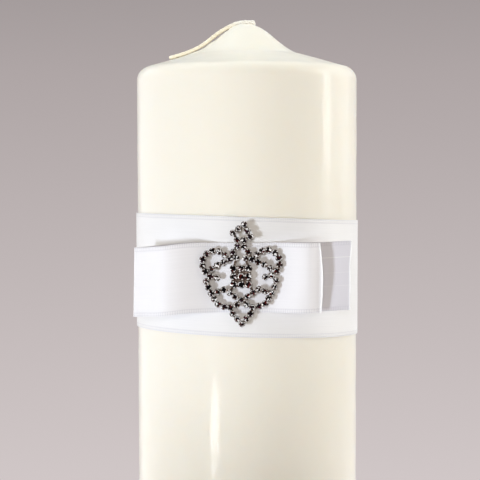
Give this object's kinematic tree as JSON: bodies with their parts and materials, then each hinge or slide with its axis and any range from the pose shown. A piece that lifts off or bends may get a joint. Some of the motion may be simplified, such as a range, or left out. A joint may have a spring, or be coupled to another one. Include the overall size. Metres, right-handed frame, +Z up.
{
  "type": "unity candle",
  "caption": "Ivory pillar candle with a peaked top and a creased wick, wrapped in a wide satin ribbon with a folded ribbon bow and a stone-set brooch; lit by a couple at a wedding.",
  "frame": {"origin": "middle of the candle's flat base, on the candle's axis", "axes": "+Z up the candle, -Y to the front where the brooch faces, +X to the right as seen from the front"},
  "size_m": [0.0772, 0.0822, 0.2299],
  "materials": {
    "core_wax": "matt ivory paraffin wax",
    "coat_wax": "glossy ivory hard wax",
    "cotton": "waxed flat-braided cotton",
    "tin_plate": "tinned steel",
    "satin": "white satin ribbon",
    "tape": "clear double-sided tape",
    "glue": "set hot-melt glue",
    "silver_tone": "bright silver-tone plate",
    "crystal": "clear foil-backed cut glass"
  },
  "bodies": {
    "candle": {"wax_core": "core_wax", "overdip_coat": "coat_wax", "wick": "cotton", "wick_sustainer": "tin_plate"},
    "wick_end": {"wick_tail": "cotton"},
    "wrap": {"band_ribbon": "satin", "seam_tape": "tape", "bow_back_glue": "glue", "bow_ribbon": "satin", "bow_fold_glue": "glue", "brooch_glue": "glue", "brooch_frame": "silver_tone", "small_cups": "silver_tone", "middle_cups": "silver_tone", "small_stones": "crystal", "middle_stones": "crystal"}
  },
  "joints": [
    {"name": "wick_fold", "type": "hinge", "parent": "candle", "child": "wick_end", "pos_m": [0.0023, 0, 0.2293], "axis": [0, 1, 0], "range_deg": [0, 110]},
    {"name": "wrap_slide", "type": "slide", "parent": "candle", "child": "wrap", "axis": [0, 0, 1], "range_m": [-0.115, 0.115]}
  ]
}
